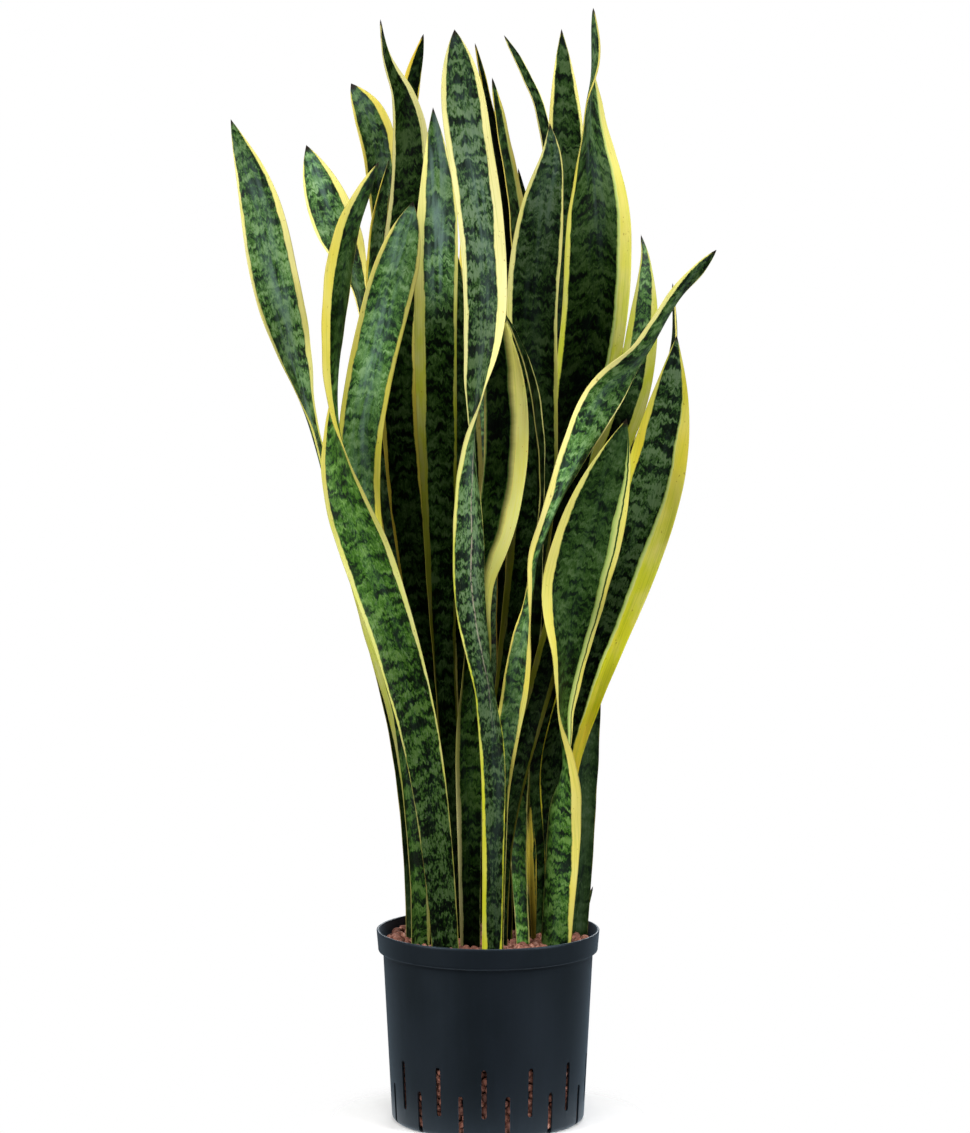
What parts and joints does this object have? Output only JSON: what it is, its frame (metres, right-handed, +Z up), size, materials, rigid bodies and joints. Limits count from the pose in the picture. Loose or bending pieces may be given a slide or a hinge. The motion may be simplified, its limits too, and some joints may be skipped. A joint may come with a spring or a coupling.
{
  "type": "potted snake plant",
  "caption": "Tall upright snake plant with yellow-edged sword leaves, standing in clay pebbles in a round slotted culture pot.",
  "frame": {"origin": "centre of the pot's flat underside, on the surface that the pot stands on", "axes": "+Z up along the pot's axis, -Y towards the side that the picture shows, +X to the right in the picture"},
  "size_m": [0.4652, 0.3255, 1.1031],
  "materials": {
    "leaf": "waxy leathery leaf, dark green with pale cross bands and yellow margins",
    "sprout": "young waxy leaf, lighter green with a yellow edge",
    "rhizome": "pale fibrous underground stem",
    "pot_plastic": "satin anthracite moulded plastic",
    "clay": "matt porous fired clay, red brown"
  },
  "bodies": {
    "root": {"leaf_outer_left": "leaf", "leaf_left_twist": "leaf", "leaf_left_rear": "leaf", "leaf_bright_left": "leaf", "leaf_tall_dark": "leaf", "leaf_centre_left": "leaf", "leaf_rear_tip_left": "leaf", "leaf_dark_sliver": "leaf", "leaf_rear_edge_on": "leaf", "leaf_front_twist": "leaf", "leaf_rear_needle": "leaf", "leaf_curled_needle": "leaf", "leaf_rear_small_tip": "leaf", "leaf_rear_lean_left": "leaf", "leaf_rear_upright": "leaf", "leaf_centre_right": "leaf", "leaf_yellow_bow": "leaf", "leaf_thin_edge_on": "leaf", "leaf_long_right": "leaf", "leaf_tall_right": "leaf", "leaf_right_needle": "leaf", "leaf_wide_right": "leaf", "leaf_right_twist": "leaf", "leaf_right_back": "leaf", "leaf_back_left": "leaf", "leaf_back_centre": "leaf", "leaf_back_right": "leaf", "leaf_back_far_right": "leaf", "leaf_back_low_left": "leaf", "leaf_back_middle": "leaf", "sprout_front": "sprout", "sprout_middle": "sprout", "sprout_edge": "sprout", "rhizome_left": "rhizome", "rhizome_front": "rhizome", "rhizome_right": "rhizome", "rhizome_back": "rhizome", "pot": "pot_plastic", "clay_pebbles": "clay"}
  },
  "joints": []
}
